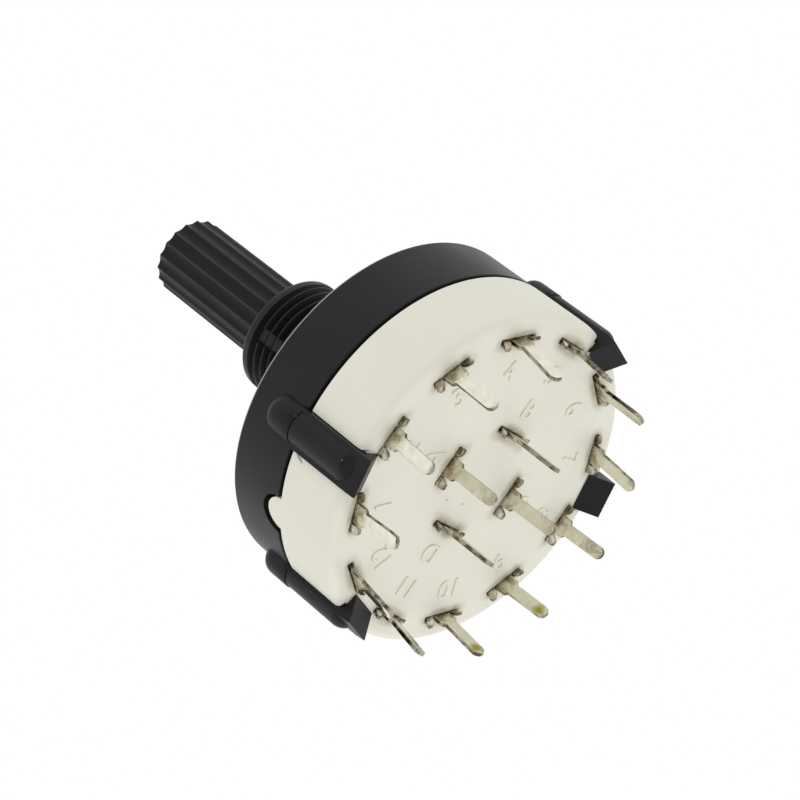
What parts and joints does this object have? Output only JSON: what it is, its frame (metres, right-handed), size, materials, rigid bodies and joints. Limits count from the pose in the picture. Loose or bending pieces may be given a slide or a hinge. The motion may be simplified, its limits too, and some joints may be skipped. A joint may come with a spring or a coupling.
{
  "type": "rotary selector switch",
  "caption": "Panel-mount rotary selector switch with a threaded neck, a splined plastic shaft, a cream base held by four snap arms, and flat solder terminals.",
  "frame": {"origin": "on the shaft axis at the mounting face, the shoulder that lies against the back of the panel", "axes": "+Z along the shaft to its tip, in front of the panel; +X through the middle outer terminal of the first pole and its common"},
  "size_m": [0.0272, 0.027, 0.0381],
  "materials": {
    "black_plastic": "satin moulded thermoplastic",
    "cream_plastic": "matte moulded thermoplastic",
    "white_plastic": "satin moulded acetal",
    "tin_plate": "tin-plated stamped brass strip",
    "contact_bronze": "bright spring bronze",
    "bright_steel": "polished"
  },
  "bodies": {
    "stator": {"housing": "black_plastic", "base": "cream_plastic", "terminal_1": "tin_plate", "terminal_2": "tin_plate", "terminal_3": "tin_plate", "terminal_4": "tin_plate", "terminal_5": "tin_plate", "terminal_6": "tin_plate", "terminal_7": "tin_plate", "terminal_8": "tin_plate", "terminal_9": "tin_plate", "terminal_10": "tin_plate", "terminal_11": "tin_plate", "terminal_12": "tin_plate", "common_a": "tin_plate", "common_b": "tin_plate", "common_c": "tin_plate", "common_d": "tin_plate"},
    "rotor": {"shaft": "black_plastic", "contact_carrier": "white_plastic", "wiper_a": "contact_bronze", "wiper_b": "contact_bronze", "wiper_c": "contact_bronze", "wiper_d": "contact_bronze", "detent_ball_1": "bright_steel", "detent_ball_2": "bright_steel", "detent_spring": "bright_steel"}
  },
  "joints": [
    {"name": "selector_turn", "type": "hinge", "parent": "stator", "child": "rotor", "pos_m": [0, 0, 0], "axis": [0, 0, 1], "range_deg": [-30, 30]}
  ]
}
